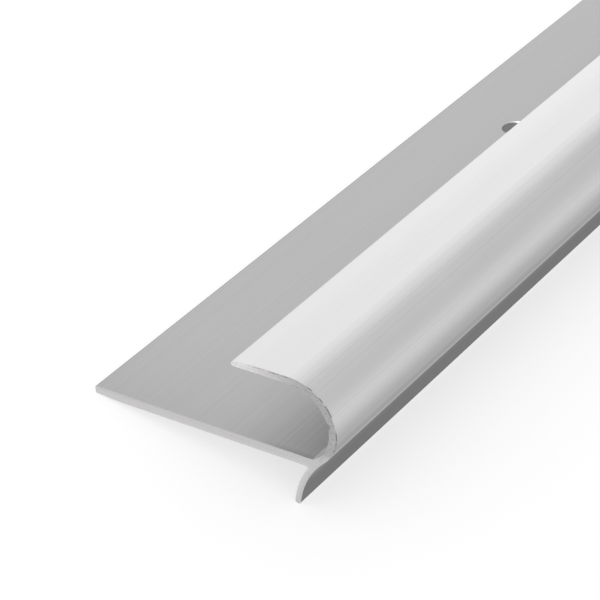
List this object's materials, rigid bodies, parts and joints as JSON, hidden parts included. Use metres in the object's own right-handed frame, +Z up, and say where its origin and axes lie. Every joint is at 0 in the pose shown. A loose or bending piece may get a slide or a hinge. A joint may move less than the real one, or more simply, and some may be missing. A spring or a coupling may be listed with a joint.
{
  "type": "stair nosing",
  "caption": "Extruded stair nosing: a flat screw-down base, a half-round nose whose thin lip makes a slot for the floor covering, and a curved fin against the riser.",
  "frame": {"origin": "on the floor, in the middle of the ground that the stock covers as it lies at rest", "axes": "+X along the stock, -Y towards the nose, +Z up from the floor; the base leans back 11.9 degrees about X, as the stock rests on its fin and its back edge"},
  "size_m": [1, 0.043, 0.0222],
  "materials": {
    "satin_aluminium": "plain extruded aluminium, satin, with fine lines along its length and bright sawn ends"
  },
  "bodies": {
    "root": {"nosing_profile": "satin_aluminium"}
  },
  "joints": []
}
